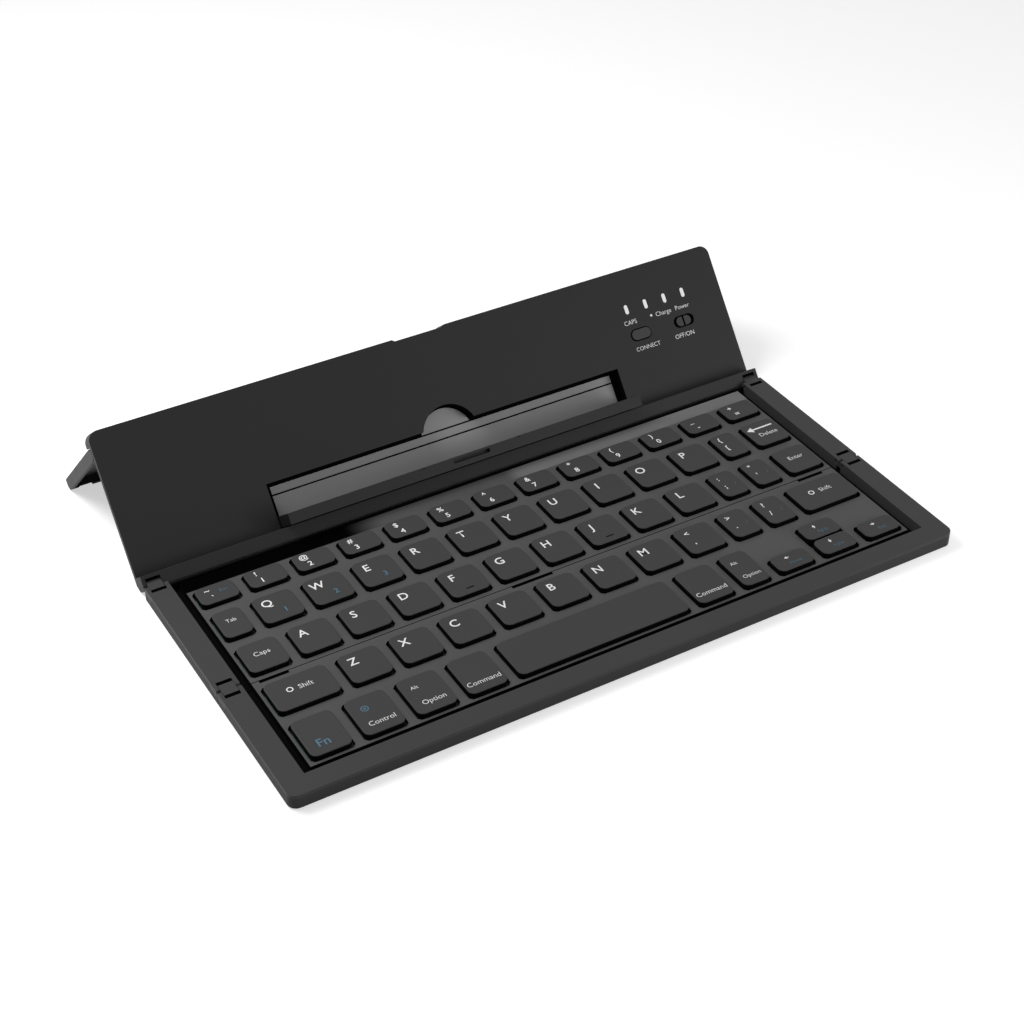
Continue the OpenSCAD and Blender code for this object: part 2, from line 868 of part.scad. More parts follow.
module lid_magnets() {
  color("silver") lid_space() for (x = [-magnet_x, magnet_x])
    translate([x, lid_magnet_y, skin_w - magnet_high]) cylinder(r = magnet_r, h = magnet_high);
}

module stand_pins() {
  color("silver") lid_space() mirrored()
    rod_x(pod_half - 0.2, half - 0.9, stand_y, stand_w, stand_pin_r);
}

module ledge_pins() {
  color("silver") lid_space() mirrored()
    rod_x(ledge_width / 2 - 3, win_half + 1.1, flap_y, flap_w, pin_r);
}

module device_ledge() {
  x1 = ledge_width / 2;
  tip = face_w + ledge_reach;
  color("dimgray") lid_space() difference() {
    along_x(-x1, x1) {
      translate([flap_low, flap_w]) square([flap_high - flap_low, tip - flap_w]);
      translate([flap_y, flap_w]) circle(r = flap_high - flap_y);
    }
    translate([-7, 0, 0]) box(0, 14, flap_y - 0.35, flap_y + 0.95, tip - 1.5, tip + 1);
    for (x = [-18.6, 18.6]) box(x - 0.7, x + 0.7, flap_high - 0.5, 99, tip - 0.7, tip + 1);
    mirrored() rod_x(x1 - 3, x1 + 1, flap_y, flap_w, pin_r);
  }
}

// ---- rear stand, drawn folded flat against the lid ----

module rear_stand() {
  far = -stand_length;
  color("dimgray") difference() {
    stand_space() difference() {
      union() {
        mirrored() {
          along_x(half - 1.3, half) {
            circle(r = stand_half);
            translate([far, -stand_half]) square([stand_length, 2 * stand_half]);
          }
          along_x(pod_half + 2.3, half - 1) {
            circle(r = stand_half);
            translate([-3, -stand_half]) square([3, 1.2]);
          }
        }
        box(-half, half, far, -1.25, -stand_half, stand_skin - stand_half);
        box(-half, half, far, far + 3, -stand_half, stand_half);
      }
      mirrored() rod_x(pod_half, half - 0.85, 0, 0, stand_pin_r + pin_clear);
      box(-pod_half - 2.5, pod_half + 2.5, -1.25, 9, -9, 9);
      box(3 - half, half - 3, far + wall, far + 4, stand_skin - stand_half, 9);
    }
    world() box(-half - 1, half + 1, foot_y - 20, foot_y + 20, -9, foot_height);
  }
}

module stand_foot() {
  color("black") world() box(-half + 8, half - 8, foot_y - 0.9, foot_y + 0.9, 0, foot_height);
}

middle_pan();
middle_trim_left();
middle_trim_right();
middle_deck();
middle_board();
middle_domes();
middle_feet();
middle_screws();
front_pan();
front_frame();
front_deck();
front_board();
front_domes();
front_feet();
front_screws();
front_magnets();
front_links();
front_pins();
lid_links();
lid_pins();
lid_face();
lid_back();
recess_strip();
battery();
control_board();
tact_switch();
slide_switch();
led_windows();
charge_socket();
lid_magnets();
stand_pins();
ledge_pins();
device_ledge();
rear_stand();
stand_foot();
connect_button();
power_slider();
number_keys();
upper_letter_keys();
home_letter_keys();
lower_letter_keys();
tab_key();
backspace_key();
caps_key();
enter_key();
left_shift_key();
right_shift_key();
fn_key();
ctrl_key();
left_alt_key();
left_cmd_key();
space_key();
right_cmd_key();
right_alt_key();
left_arrow_key();
up_arrow_key();
down_arrow_key();
right_arrow_key();
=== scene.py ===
import json
import math
import bmesh
import bpy
from mathutils import Matrix, Vector


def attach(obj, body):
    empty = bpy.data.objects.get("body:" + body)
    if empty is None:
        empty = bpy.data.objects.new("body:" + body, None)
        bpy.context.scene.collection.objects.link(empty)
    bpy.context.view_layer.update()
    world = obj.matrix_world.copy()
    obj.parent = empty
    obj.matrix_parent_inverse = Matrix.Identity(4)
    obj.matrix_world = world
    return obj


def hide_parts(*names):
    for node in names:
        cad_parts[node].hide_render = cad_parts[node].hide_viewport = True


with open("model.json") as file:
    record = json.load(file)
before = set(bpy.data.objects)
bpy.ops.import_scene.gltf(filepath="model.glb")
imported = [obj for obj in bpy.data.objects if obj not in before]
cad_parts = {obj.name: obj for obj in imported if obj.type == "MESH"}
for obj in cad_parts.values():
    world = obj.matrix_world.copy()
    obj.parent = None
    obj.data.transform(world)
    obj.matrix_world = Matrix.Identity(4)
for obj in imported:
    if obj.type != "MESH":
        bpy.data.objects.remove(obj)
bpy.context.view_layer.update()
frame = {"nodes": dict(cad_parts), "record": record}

scene = bpy.context.scene
scene.view_settings.view_transform = "Standard"
mm = 0.001
print("frame loaded:", len(frame["nodes"]), "nodes")


# camera, floor, light

camera = {"azimuth": -30.48, "elevation": 37.13, "lens": 68.87, "sensor": 36, "distance": 654.86,
          "target": (1.845, -4.56, 3.4)}

def makeCamera():
    a, e = math.radians(camera["azimuth"]), math.radians(camera["elevation"])
    back = Vector((math.sin(a) * math.cos(e), -math.cos(a) * math.cos(e), math.sin(e)))
    data = bpy.data.cameras.new("camera")
    data.lens, data.sensor_width = camera["lens"], camera["sensor"]
    cam = bpy.data.objects.new("camera", data)
    cam.location = (Vector(camera["target"]) + back * camera["distance"]) * mm
    cam.rotation_euler = (math.radians(90 - camera["elevation"]), 0, a)
    scene.collection.objects.link(cam)
    scene.camera = cam


makeCamera()


# node trees, with their maths written as Python expressions

class Wire:
    # a socket that takes part in Python arithmetic
    def __init__(self, tree, socket):
        self.tree, self.socket = tree, socket

    def maths(self, operation, other, swap=False):
        pair = [other, self] if swap else [self, other]
        return self.tree.node("ShaderNodeMath", {"operation": operation}, {0: pair[0], 1: pair[1]})

    def __add__(self, other): return self.maths("ADD", other)
    def __radd__(self, other): return self.maths("ADD", other, True)
    def __sub__(self, other): return self.maths("SUBTRACT", other)
    def __rsub__(self, other): return self.maths("SUBTRACT", other, True)
    def __mul__(self, other): return self.maths("MULTIPLY", other)
    def __rmul__(self, other): return self.maths("MULTIPLY", other, True)


class Web:
    # nodes and the links between them
    def __init__(self, tree):
        self.nodes, self.links = tree.nodes, tree.links

    def node(self, kind, settings, inputs, output=0):
        made = self.nodes.new(kind)
        for key, value in settings.items():
            setattr(made, key, value)
        for key, value in inputs.items():
            self.feed(made.inputs[key], value)
        return Wire(self, made.outputs[output])

    def feed(self, socket, value):
        if isinstance(value, Wire):
            self.links.new(value.socket, socket)
        else:
            socket.default_value = value


class Tree(Web):
    # one material's nodes
    def __init__(self, name):
        self.material = bpy.data.materials.new(name)
        self.material.use_nodes = True
        super().__init__(self.material.node_tree)
        self.shader = self.nodes["Principled BSDF"]
        self.place = self.node("ShaderNodeTexCoord", {}, {}, "Object")

    def noise(self, scale, detail=3.0, rough=0.5):
        return self.node("ShaderNodeTexNoise", {},
                         {"Vector": self.place, "Scale": scale, "Detail": detail, "Roughness": rough})

    def mixed(self, low, high, amount):
        # sockets 6 and 7 take a mix's two colours, and output 2 gives its colour
        pair = [c if isinstance(c, Wire) else (*c, 1) for c in (low, high)]
        return self.node("ShaderNodeMix", {"data_type": "RGBA"}, {0: amount, 6: pair[0], 7: pair[1]}, 2)

    def ramp(self, value, start, end):
        # 0 at start, 1 at end, eased between them
        return self.node("ShaderNodeMapRange", {"interpolation_type": "SMOOTHSTEP"},
                         {"Value": value, "From Min": start, "From Max": end})

    def finish(self, **sockets):
        for key, value in sockets.items():
            self.feed(self.shader.inputs[key.replace("_", " ")], value)
        return self.material


def seenDirectly(web):
    # 1 for camera, glossy and transmission rays, 0 for light that falls on the part
    rays = [web.node("ShaderNodeLightPath", {}, {}, name)
            for name in ("Is Camera Ray", "Is Glossy Ray", "Is Transmission Ray")]
    return rays[0].maths("MAXIMUM", rays[1]).maths("MAXIMUM", rays[2])


looksUp = 0.1      # a face looks up where its normal rises more than this

class Grower(Web):
    # a geometry tree with named sizes, which makes one piece at each point it is given
    def __init__(self, name, sizes):
        self.group = bpy.data.node_groups.new(name, "GeometryNodeTree")
        super().__init__(self.group)
        face = self.group.interface
        face.new_socket("Points", in_out="INPUT", socket_type="NodeSocketGeometry")
        for key, value in sizes.items():
            face.new_socket(key, in_out="INPUT", socket_type="NodeSocketFloat").default_value = value
        face.new_socket("Geometry", in_out="OUTPUT", socket_type="NodeSocketGeometry")
        self.entry = self.nodes.new("NodeGroupInput")

    def given(self, key):
        return Wire(self, self.entry.outputs[key])

    def vector(self, x, y, z):
        return self.node("ShaderNodeCombineXYZ", {}, {0: x, 1: y, 2: z})

    def moved(self, piece, x, y, z):
        return self.node("GeometryNodeTransform", {}, {
            "Geometry": piece, "Translation": self.vector(x, y, z)})

    def joined(self, *pieces):
        made = self.nodes.new("GeometryNodeJoinGeometry")
        for piece in pieces:
            self.links.new(piece.socket, made.inputs[0])
        return Wire(self, made.outputs[0])

    def finish(self, piece, material, tilt=0.0, below=None):
        turn = self.node("FunctionNodeEulerToRotation", {}, {0: self.vector(tilt, 0.0, 0.0)})
        laid = self.node("GeometryNodeInstanceOnPoints", {},
                         {"Points": self.given("Points"), "Instance": piece, "Rotation": turn})
        real = self.node("GeometryNodeRealizeInstances", {}, {0: laid})
        dressed = self.node("GeometryNodeSetMaterial", {}, {"Geometry": real, "Material": material})
        if below:
            # faces that don't look up take the second material; for the caps this is a near-black painted
            # shade
            facing = self.node("GeometryNodeInputNormal", {}, {})
            rise = self.node("ShaderNodeSeparateXYZ", {}, {0: facing}, 2)
            dressed = self.node("GeometryNodeSetMaterial", {}, {
                "Geometry": dressed, "Selection": rise.maths("LESS_THAN", looksUp), "Material": below})
        self.feed(self.nodes.new("NodeGroupOutput").inputs[0], dressed)


def neutral(level):
    # a grey of an sRGB level, 0 to 255, in linear light
    v = level / 255
    v = ((v + 0.055) / 1.055) ** 2.4 if v > 0.04045 else v / 12.92
    return (v, v, v)


# finishes

# the tone of each plastic, from 0 to 255, and its roughness; the near-black tones 12 and 4 are not
# plastics but painted shade, put where shade falls
plastic = {"lidFace": (36, 0.52), "frame": (54, 0.5), "keyTop": (55, 0.55), "deck": (74, 0.5),
           "pan": (46, 0.6), "strip": (150, 0.45), "ledge": (38, 0.5), "button": (56, 0.45),
           "paintedShade": (12, 0.8), "link": (54, 0.46), "paintedInnerShade": (4, 0.85), "header": (34, 0.5),
           "stand": (42, 0.5)}
# a pattern is its scale, with its detail and roughness where they are set; shadow and shadowRough give
# the near-black dull surface of a painted shadow
surface = {"grain": (5200, 4, 0.6), "drift": (22, 2), "handling": (140, 4, 0.65), "spread": 0.06,
           "driftShare": 0.7, "driftShine": 0.07, "handlingShine": 0.08, "bump": 0.22,
           "bumpDepth": 0.03 * mm, "gloss": 0.14, "darkGloss": 0.04, "shadow": 0.001,
           "shadowRough": 0.9}

def mouldedPlastic(name, level, rough, shadeOf=None):
    # fine spark-eroded grain, with a broad drift in colour and gloss
    t = Tree(name)
    grain, drift, handling = [t.noise(*surface[k]) for k in ("grain", "drift", "handling")]
    tone = t.mixed(neutral(level * (1 - surface["spread"])), neutral(level * (1 + surface["spread"])),
                   drift * surface["driftShare"] + grain * (1 - surface["driftShare"]))
    shadow = None
    # a shadeOf rule paints light and shade: it gives back the tone with any painted light, and a mask of
    # painted shadow
    if shadeOf:
        tone, shadow = shadeOf(t, tone)
    glossy, handled = surface["driftShine"], surface["handlingShine"]
    shine = drift * glossy + handling * handled + (rough - (glossy + handled) / 2)
    bump = t.node("ShaderNodeBump", {}, {"Strength": surface["bump"], "Distance": surface["bumpDepth"],
                                         "Height": grain})
    gloss = surface["darkGloss" if name == "paintedInnerShade" else "gloss"]
    t.finish(Base_Color=tone, Roughness=shine, Normal=bump, Specular_IOR_Level=gloss)
    # the painted shadow: a near-black, dull surface mixed over the plastic where the mask is set
    if shadow:
        v = surface["shadow"]
        paintedShadow = t.node("ShaderNodeBsdfPrincipled", {}, {
            "Base Color": (v, v, v, 1), "Roughness": surface["shadowRough"], "Specular IOR Level": 0.0})
        both = t.node("ShaderNodeMixShader", {}, {0: shadow, 1: Wire(t, t.shader.outputs[0]), 2: paintedShadow})
        t.links.new(both.socket, t.nodes["Material Output"].inputs["Surface"])
    return t.material


# painted shadow and painted light on the strip behind the number row: black at the left, palest at the
# right
paintedRearBand = {"from": 9.9, "soft": 0.5, "blackTo": -52, "clearFrom": -36, "paleFrom": 9, "paleTo": 16,
            "pale": 104}

def paintedRearShadowAndLight(t, tone):
    parts = t.node("ShaderNodeSeparateXYZ", {}, {"Vector": t.place})
    across, along = parts, Wire(t, parts.socket.node.outputs[1])
    behind = t.ramp(along, paintedRearBand["from"] * mm, (paintedRearBand["from"] + paintedRearBand["soft"]) * mm)
    left = t.ramp(across, paintedRearBand["clearFrom"] * mm, paintedRearBand["blackTo"] * mm)
    right = t.ramp(across, paintedRearBand["paleFrom"] * mm, paintedRearBand["paleTo"] * mm)
    # behind times right mixes in a paler tone as painted light, and behind times left is the mask of the
    # painted shadow
    return t.mixed(tone, neutral(paintedRearBand["pale"]), behind * right), behind * left


# tones run between two levels from 0 to 255, and "shine" is what a pattern adds to the roughness
steel = {"streak": (40, 3000, 3000), "tones": (120, 160), "rough": 0.25, "shine": 0.2}

def brushedSteel():
    t = Tree("steel")
    streak = t.node("ShaderNodeMapping", {}, {"Vector": t.place, "Scale": steel["streak"]})
    lines = t.node("ShaderNodeTexNoise", {}, {"Vector": streak, "Scale": 1.0, "Detail": 3.0})
    tone = t.mixed(*map(neutral, steel["tones"]), lines)
    return t.finish(Base_Color=tone, Roughness=lines * steel["shine"] + steel["rough"], Metallic=1.0)


rubber = {"speck": (2600, 4, 0.7), "tones": (16, 26), "rough": 0.78, "shine": 0.1, "bump": 0.4,
          "bumpDepth": 0.05 * mm}

def rubberSkin():
    t = Tree("rubber")
    speck = t.noise(*rubber["speck"])
    bump = t.node("ShaderNodeBump", {}, {
        "Strength": rubber["bump"], "Distance": rubber["bumpDepth"], "Height": speck})
    return t.finish(Base_Color=t.mixed(*map(neutral, rubber["tones"]), speck),
                    Roughness=speck * rubber["shine"] + rubber["rough"], Normal=bump)


silicone = {"cloud": 300, "tones": (20, 28), "rough": 0.6}

def siliconeSheet():
    t = Tree("silicone")
    cloud = t.noise(silicone["cloud"])
    return t.finish(Base_Color=t.mixed(*map(neutral, silicone["tones"]), cloud),
                    Roughness=silicone["rough"])


board = {"cell": 420.0, "contrast": 1.2, "rough": 0.42, "dark": (0.006, 0.05, 0.02),
         "pale": (0.02, 0.13, 0.05)}

def circuitBoard():
    t = Tree("circuitBoard")
    cell = t.node("ShaderNodeTexVoronoi", {"distance": "MANHATTAN"}, {
        "Vector": t.place, "Scale": board["cell"]})
    tone = t.mixed(board["dark"], board["pale"], cell * board["contrast"])
    return t.finish(Base_Color=tone, Roughness=board["rough"])


foil = {"crease": (180, 5, 0.7), "tones": (150, 185), "metal": 0.9, "rough": 0.3, "shine": 0.2,
        "bump": 0.3, "bumpDepth": 0.2 * mm}

def batteryFoil():
    t = Tree("batteryFoil")
    crease = t.noise(*foil["crease"])
    bump = t.node("ShaderNodeBump", {}, {
        "Strength": foil["bump"], "Distance": foil["bumpDepth"], "Height": crease})
    return t.finish(Base_Color=t.mixed(*map(neutral, foil["tones"]), crease), Metallic=foil["metal"],
                    Roughness=crease * foil["shine"] + foil["rough"], Normal=bump)


window = {"cloud": 900, "tones": (225, 245), "rough": 0.3}

def lightWindow():
    t = Tree("lightWindow")
    cloud = t.noise(window["cloud"])
    return t.finish(Base_Color=t.mixed(*map(neutral, window["tones"]), cloud), Roughness=window["rough"])


printed = {"wear": (1500, 4, 0.6), "rough": 0.5, "shine": 0.1, "white": (205, 235),
           "blue": ((0.035, 0.1, 0.15), (0.055, 0.14, 0.2))}

def printInk(name, low, high):
    t = Tree(name)
    wear = t.noise(*printed["wear"])
    return t.finish(Base_Color=t.mixed(low, high, wear),
                    Roughness=wear * printed["shine"] + printed["rough"])


finish = {name: mouldedPlastic(name, *values) for name, values in plastic.items()}
finish["rearDeckPaintedShadowAndLight"] = mouldedPlastic("rearDeckPaintedShadowAndLight", *plastic["deck"], paintedRearShadowAndLight)
finish["steel"] = brushedSteel()
finish["rubber"] = rubberSkin()
finish["silicone"] = siliconeSheet()
finish["board"] = circuitBoard()
finish["foil"] = batteryFoil()
finish["window"] = lightWindow()
finish["whiteInk"] = printInk("whiteInk", *map(neutral, printed["white"]))
finish["blueInk"] = printInk("blueInk", *printed["blue"])

nodeFinish = {
    "middle_pan": "pan", "front_pan": "pan", "lid_back": "header", "lid_face": "lidFace",
    "middle_trim_left": "frame", "middle_trim_right": "frame", "front_frame": "frame",
    "middle_deck": "rearDeckPaintedShadowAndLight", "front_deck": "deck", "device_ledge": "ledge", "rear_stand": "stand",
    "front_links": "link", "lid_links": "link", "recess_strip": "strip",
    "connect_button": "button", "power_slider": "button", "led_windows": "window",
    "middle_board": "board", "front_board": "board", "control_board": "board",
    "middle_domes": "silicone", "front_domes": "silicone", "battery": "foil",
    "middle_feet": "rubber", "front_feet": "rubber", "stand_foot": "rubber"}

def dressNodes():
    for name, obj in frame["nodes"].items():
        key = "keyTop" if name.endswith(("_key", "_keys")) else nodeFinish.get(name, "steel")
        obj.data.materials.clear()
        obj.data.materials.append(finish[key])


dressNodes()
print("finishes made:", len(finish))


# where things ride

behaviour = frame["record"]["behaviour"]
bodyOf = {node: body for body, nodes in behaviour["bodies"].items() for node in nodes}
jointOf = {joint["name"]: joint for joint in behaviour["joints"]}

def addPiece(name, mesh, body):
    obj = bpy.data.objects.new(name, mesh)
    scene.collection.objects.link(obj)
    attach(obj, body)
    return obj


def freeze(obj):
    # the modified shape as a plain mesh
    graph = bpy.context.evaluated_depsgraph_get()
    mesh = bpy.data.meshes.new_from_object(obj.evaluated_get(graph), depsgraph=graph)
    obj.modifiers.clear()
    return mesh


cadWeld = 0.004 * mm      # corners of CAD triangles that are nearer than this become one

def mergedCopy(node):
    bm = bmesh.new()
    bm.from_mesh(frame["nodes"][node].data)
    bmesh.ops.remove_doubles(bm, verts=bm.verts, dist=cadWeld)
    return bm


def islands(node):
    # each loose part of a node as (low corner, high corner), from left to right
    bm = mergedCopy(node)
    left, boxes = set(bm.verts), []
    while left:
        stack, found = [left.pop()], []
        while stack:
            v = stack.pop()
            found.append(v.co.copy())
            for e in v.link_edges:
                w = e.other_vert(v)
                if w in left:
                    left.remove(w)
                    stack.append(w)
        boxes.append((Vector(map(min, *found)), Vector(map(max, *found))))
    bm.free()
    return sorted(boxes, key=lambda b: b[0].x)


lid = {"tilt": 51.6, "face": -4.8, "ledX": (79.9, 88, 96.1, 104.1), "ledUp": 37.9,
       "lightLabels": 33.0, "buttonLabels": 22.9}

# edges broken by the mould

moulded = {"middle_trim_left": 0.22, "middle_trim_right": 0.22, "front_frame": 0.22,
           "front_pan": 0.2, "middle_pan": 0.2, "front_deck": 0.09, "middle_deck": 0.09,
           "lid_face": 0.2, "lid_back": 0.22, "device_ledge": 0.2, "rear_stand": 0.25,
           "front_links": 0.12, "lid_links": 0.12, "recess_strip": 0.08,
           "connect_button": 0.28, "power_slider": 0.12}

# painted shade: faces inside a moulding, in its recesses, slots and gaps where shade falls, take a
# near-black tone; each rule takes a face's centre, in millimetres, and its normal
panel = {"half": 120, "wall": 1.4, "floor": 1.2, "front": -89.7, "top": 5.6, "deckTop": 4.0,
         "deckSkin": 0.15, "face": -4.98, "faceSide": 2, "windowLow": 4, "lidTop": 49,
         "podFloor": -9.5, "strip": -8.75, "pocket": (113.5, 119), "pocketTop": 0.9, "pocketDrop": 0.35,
         "hinges": (-39, 18), "hingeReach": 8, "linkLow": 4.3, "rearWall": 113.3,
         "rearWallWas": (112.1, 112.25)}
slot = {"half": 7.5, "tip": 5.6, "deep": 1.4, "lip": 0.05, "low": 5.3, "high": 6.9}
buttonEdge = {"level": 0.97, "deep": 0.3}
# how far a face has to turn for its rule, as a cosine
turned = {"housing": 0.5, "link": 0.5, "ledge": 0.9, "strip": 0.6}

def toLid(point):
    return lidFrame().inverted() @ (point * mm) / mm


def lidFrame():
    pivot = Matrix.Translation(jointOf["lid_fold"]["pos_m"])
    return pivot @ Matrix.Rotation(math.radians(lid["tilt"]), 4, "X")


def lidSpot(x, up, out):
    # a place on the lid's face: across, up from its pivot, and out of it
    return lidFrame() @ Matrix.Translation((x * mm, up * mm, out * mm))


def insidePan(c, n):
    return (c.z > panel["floor"] and abs(c.x) < panel["half"] - panel["wall"]
            and c.y > panel["front"] + panel["wall"])


def insideFace(c, n):
    at = toLid(c)
    low, high = panel["pocket"]
    # in a hinge pocket, a face that looks sideways takes the painted shade only lower down
    pocket = (low < abs(at.x) < high and at.y < panel["windowLow"]
              and at.z + abs(n.x) < panel["pocketTop"])
    return pocket or (at.z < panel["face"] and abs(at.x) < panel["half"] - panel["faceSide"]
                      and panel["windowLow"] < at.y < panel["lidTop"])


def insideHousing(c, n):
    at = toLid(c)
    facing = (lidFrame().to_3x3().inverted() @ n).z
    within = abs(at.x) < panel["half"] - panel["faceSide"] and at.y < panel["lidTop"]
    return within and (facing > turned["housing"] or at.z > panel["podFloor"])


def insidePocket(c, n):
    # the slots that the hinge links sit in
    nearHinge = min(abs(c.y - y) for y in panel["hinges"]) < panel["hingeReach"]
    return (nearHinge and panel["pocket"][0] < abs(c.x) < panel["pocket"][1]
            and c.z < panel["top"] - panel["pocketDrop"])


def belowDeck(c, n):
    return c.z < panel["deckTop"] - panel["deckSkin"]


# the sides and low rim of a button take painted shade, a dark outline
def buttonRim(c, n):
    facing = (lidFrame().to_3x3().inverted() @ n).z
    return facing < buttonEdge["level"] or toLid(c).z < panel["face"] - buttonEdge["deep"]


# the faces of the hinge links that look forward or back, above linkLow, take painted shade
def linkEnd(c, n):
    return abs(n.y) > turned["link"] and c.z > panel["linkLow"]


# the ledge's end faces and its slot take painted shade
def ledgeShade(c, n):
    return abs(n.x) > turned["ledge"] or insideSlot(c, n)


def insideSlot(c, n):
    # the long slot in the ledge's outer edge
    at = toLid(c)
    return (abs(at.x) < slot["half"] and slot["low"] < at.y < slot["high"]
            and slot["tip"] - slot["deep"] < at.z < slot["tip"] - slot["lip"])


def belowStrip(c, n):
    facing = (lidFrame().to_3x3().inverted() @ n).z
    return facing < turned["strip"] or toLid(c).z < panel["strip"]


insideOf = {"front_pan": insidePan, "middle_pan": insidePan, "lid_face": insideFace,
            "lid_back": insideHousing, "middle_trim_left": insidePocket, "recess_strip": belowStrip,
            "middle_trim_right": insidePocket, "front_frame": insidePocket,
            "middle_deck": belowDeck, "front_deck": belowDeck, "connect_button": buttonRim,
            "power_slider": buttonRim, "device_ledge": ledgeShade, "front_links": linkEnd,
            "lid_links": linkEnd}

# angles in degrees: faces nearer to flat than this merge, and edges past these are rounded or kept
angles = {"merge": 0.6, "round": 40, "keep": 28, "keepGrown": 35, "keepCap": 50}
edgeSteps = 2      # steps of a rounded edge

def breakEdges(node, width):
    bm = mergedCopy(node)
    if node == "middle_pan":
        # its rear wall runs on to the trims, so that no light shows past its ends
        for v in bm.verts:
            if panel["rearWallWas"][0] < abs(v.co.x) / mm < panel["rearWallWas"][1]:
                v.co.x = math.copysign(panel["rearWall"] * mm, v.co.x)
    bmesh.ops.dissolve_limit(bm, angle_limit=math.radians(angles["merge"]), verts=bm.verts,
                              edges=bm.edges)
    mesh = bpy.data.meshes.new(node + "_moulded")
    bm.to_mesh(mesh)
    bm.free()
    obj = bpy.data.objects.new(node + "_moulded", mesh)
    scene.collection.objects.link(obj)
    bevel = obj.modifiers.new("edge", "BEVEL")
    bevel.width, bevel.segments = width * mm, edgeSteps
    bevel.limit_method, bevel.angle_limit = "ANGLE", math.radians(angles["round"])
    obj.data = freeze(obj)
    obj.data.materials.clear()
    obj.data.materials.append(finish[nodeFinish[node]])
    # the second material is painted shade: near black, and 12 on the ledge
    obj.data.materials.append(finish["paintedShade" if node == "device_ledge" else "paintedInnerShade"])
    rule = insideOf.get(node)
    for face in obj.data.polygons:
        face.material_index = 1 if rule and rule(face.center / mm, face.normal) else 0
        face.use_smooth = True
    obj.data.set_sharp_from_angle(angle=math.radians(angles["keep"]))
    facing = obj.modifiers.new("facing", "WEIGHTED_NORMAL")      # broad faces stay flat to the light
    facing.weight, facing.keep_sharp = 100, True
    obj.data = freeze(obj)
    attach(obj, bodyOf[node])
    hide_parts(node)


for node, width in moulded.items():
    breakEdges(node, width)
print("edges broken:", len(moulded))


# pieces that repeat, grown at the places of the CAD solids

def footprints(node):
    # the middle of each solid's lowest face
    return [((a.x + b.x) / 2, (a.y + b.y) / 2, a.z) for a, b in islands(node)]


def grown(name, grower, places, sizes):
    mesh = bpy.data.meshes.new(name)
    mesh.from_pydata(places, [], [])
    obj = bpy.data.objects.new(name, mesh)
    scene.collection.objects.link(obj)
    live = obj.modifiers.new("grown", "NODES")
    live.node_group = grower.group
    for item in grower.group.interface.items_tree:
        if item.in_out == "INPUT" and item.name in sizes:
            live[item.identifier] = sizes[item.name]
    obj.data = freeze(obj)
    for face in obj.data.polygons:
        face.use_smooth = True
    obj.data.set_sharp_from_angle(angle=math.radians(angles["keepGrown"]))
    return obj


def grow(name, grower, places, sizes, node):
    obj = grown(name, grower, places, sizes)
    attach(obj, bodyOf[node])
    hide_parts(node)


# all lengths of grown pieces are in metres
screw = {"Head Radius": 1.08 * mm, "Head Height": 0.4 * mm, "Shank Radius": 0.5 * mm,
         "Tip Share": 0.7, "Length": 3.1 * mm, "Cross Length": 1.3 * mm, "Cross Width": 0.3 * mm,
         "Cross Depth": 0.25 * mm}
screwSteps = {"head": 28, "shank": 16}

def screwGrower():
    g = Grower("crossHeadScrew", screw)
    head = g.node("GeometryNodeMeshCylinder", {}, {
        "Vertices": screwSteps["head"], "Radius": g.given("Head Radius"),
        "Depth": g.given("Head Height")}, "Mesh")
    body = g.moved(head, 0.0, 0.0, g.given("Head Height") * 0.5)
    long, wide, deep = g.given("Cross Length"), g.given("Cross Width"), g.given("Cross Depth") * 2.0
    for size in (g.vector(long, wide, deep), g.vector(wide, long, deep)):
        bar = g.node("GeometryNodeMeshCube", {}, {"Size": size}, "Mesh")
        body = g.node("GeometryNodeMeshBoolean", {"operation": "DIFFERENCE"}, {
            "Mesh 1": body, "Mesh 2": bar})
    shank = g.node("GeometryNodeMeshCone", {}, {
        "Vertices": screwSteps["shank"], "Radius Bottom": g.given("Shank Radius"),
        "Radius Top": g.given("Shank Radius") * g.given("Tip Share"),
        "Depth": g.given("Length") - g.given("Head Height")}, "Mesh")
    g.finish(g.joined(body, g.moved(shank, 0.0, 0.0, g.given("Head Height"))), finish["steel"])
    return g


foot = {"Radius": 4.0 * mm, "Height": 0.6 * mm, "Rounding": 0.12, "Curve": 3.0}
footSteps = {"up": 9, "around": 32}

def footGrower():
    # a round pad that narrows a little to the face it stands on
    g = Grower("rubberFoot", foot)
    tall = g.given("Height")
    axis = g.node("GeometryNodeCurvePrimitiveLine", {}, {"End": g.vector(0.0, 0.0, tall)})
    path = g.node("GeometryNodeResampleCurve", {}, {"Curve": axis, "Count": footSteps["up"]})
    along = g.node("GeometryNodeSplineParameter", {}, {}, "Factor")
    swell = 1 - g.given("Rounding") * (1 - along).maths("POWER", g.given("Curve"))
    shaped = g.node("GeometryNodeSetCurveRadius", {}, {"Curve": path, "Radius": swell})
    rim = g.node("GeometryNodeCurvePrimitiveCircle", {}, {
        "Resolution": footSteps["around"], "Radius": g.given("Radius")})
    solid = g.node("GeometryNodeCurveToMesh", {}, {
        "Curve": shaped, "Profile Curve": rim, "Fill Caps": True})
    g.finish(solid, finish["rubber"])
    return g


lens = {"Width": 1.4 * mm, "Tall": 3.4 * mm, "Pipe Width": 1.0 * mm, "Pipe Tall": 3.2 * mm,
        "Depth": 3.5 * mm, "Proud": 0.04 * mm, "Corner Share": 0.49, "Tilt": math.radians(lid["tilt"])}
lensSteps = 5      # steps of a window's corner

